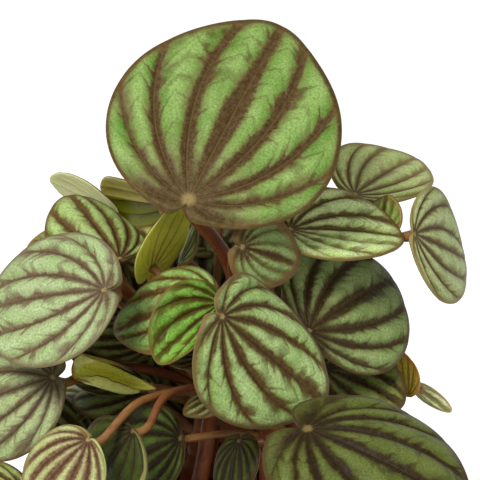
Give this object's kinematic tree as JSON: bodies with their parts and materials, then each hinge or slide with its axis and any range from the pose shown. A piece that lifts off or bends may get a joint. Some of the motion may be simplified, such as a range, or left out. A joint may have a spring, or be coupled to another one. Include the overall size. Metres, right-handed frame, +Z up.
{
  "type": "potted plant",
  "caption": "Bushy potted peperomia: round silvery-green leaves with dark radiating stripes on fleshy red-brown stalks, in a plain tapered round pot of potting soil.",
  "frame": {"origin": "centre of the pot's flat underside", "axes": "+Z up, -Y towards the viewer of the picture, +X to the viewer's right"},
  "size_m": [0.1511, 0.1655, 0.2214],
  "materials": {
    "leaf": "satin",
    "young_leaf": "satin",
    "stem_and_stalk": "satin",
    "pot": "matte",
    "soil": "matte"
  },
  "bodies": {
    "root": {"leaf_back_high_1": "leaf", "leaf_back_high_2": "leaf", "leaf_back_lower_1": "leaf", "leaf_back_lower_2": "leaf", "leaf_back_lower_3": "leaf", "leaf_back_lower_4": "leaf", "leaf_back_middle_1": "leaf", "leaf_back_middle_2": "leaf", "leaf_back_middle_3": "leaf", "leaf_back_middle_4": "leaf", "leaf_back_upper_1": "leaf", "leaf_back_upper_2": "leaf", "leaf_behind_right_folded": "leaf", "leaf_behind_upright": "leaf", "leaf_below_centre": "leaf", "leaf_below_centre_left": "leaf", "leaf_beside_upright": "leaf", "leaf_centre": "leaf", "leaf_centre_left": "leaf", "leaf_centre_small": "leaf", "leaf_far_right": "leaf", "leaf_front_left_inner": "leaf", "leaf_front_left_middle": "leaf", "leaf_front_left_outer": "leaf", "leaf_front_lowest_1": "leaf", "leaf_front_lowest_2": "leaf", "leaf_front_lowest_3": "leaf", "leaf_front_lowest_4": "leaf", "leaf_front_right_large": "leaf", "leaf_front_young": "young_leaf", "leaf_left_inner": "leaf", "leaf_left_large": "leaf", "leaf_left_low_large": "leaf", "leaf_left_lowest": "leaf", "leaf_left_pale": "leaf", "leaf_left_shaded": "leaf", "leaf_left_tucked": "leaf", "leaf_left_upper": "leaf", "leaf_right_folded": "leaf", "leaf_right_lower": "leaf", "leaf_right_narrow": "young_leaf", "leaf_right_round": "leaf", "leaf_right_turned": "leaf", "leaf_top": "leaf", "leaf_under_top_left": "leaf", "leaf_upper_right": "leaf", "leaf_upright": "leaf", "leaf_young_bright": "young_leaf", "leaf_young_curled": "young_leaf", "pot": "pot", "soil": "soil", "stem_back_left": "stem_and_stalk", "stem_back_right": "stem_and_stalk", "stem_front": "stem_and_stalk", "stem_front_left": "stem_and_stalk", "stem_left": "stem_and_stalk", "stem_middle": "stem_and_stalk", "stem_right": "stem_and_stalk"}
  },
  "joints": []
}
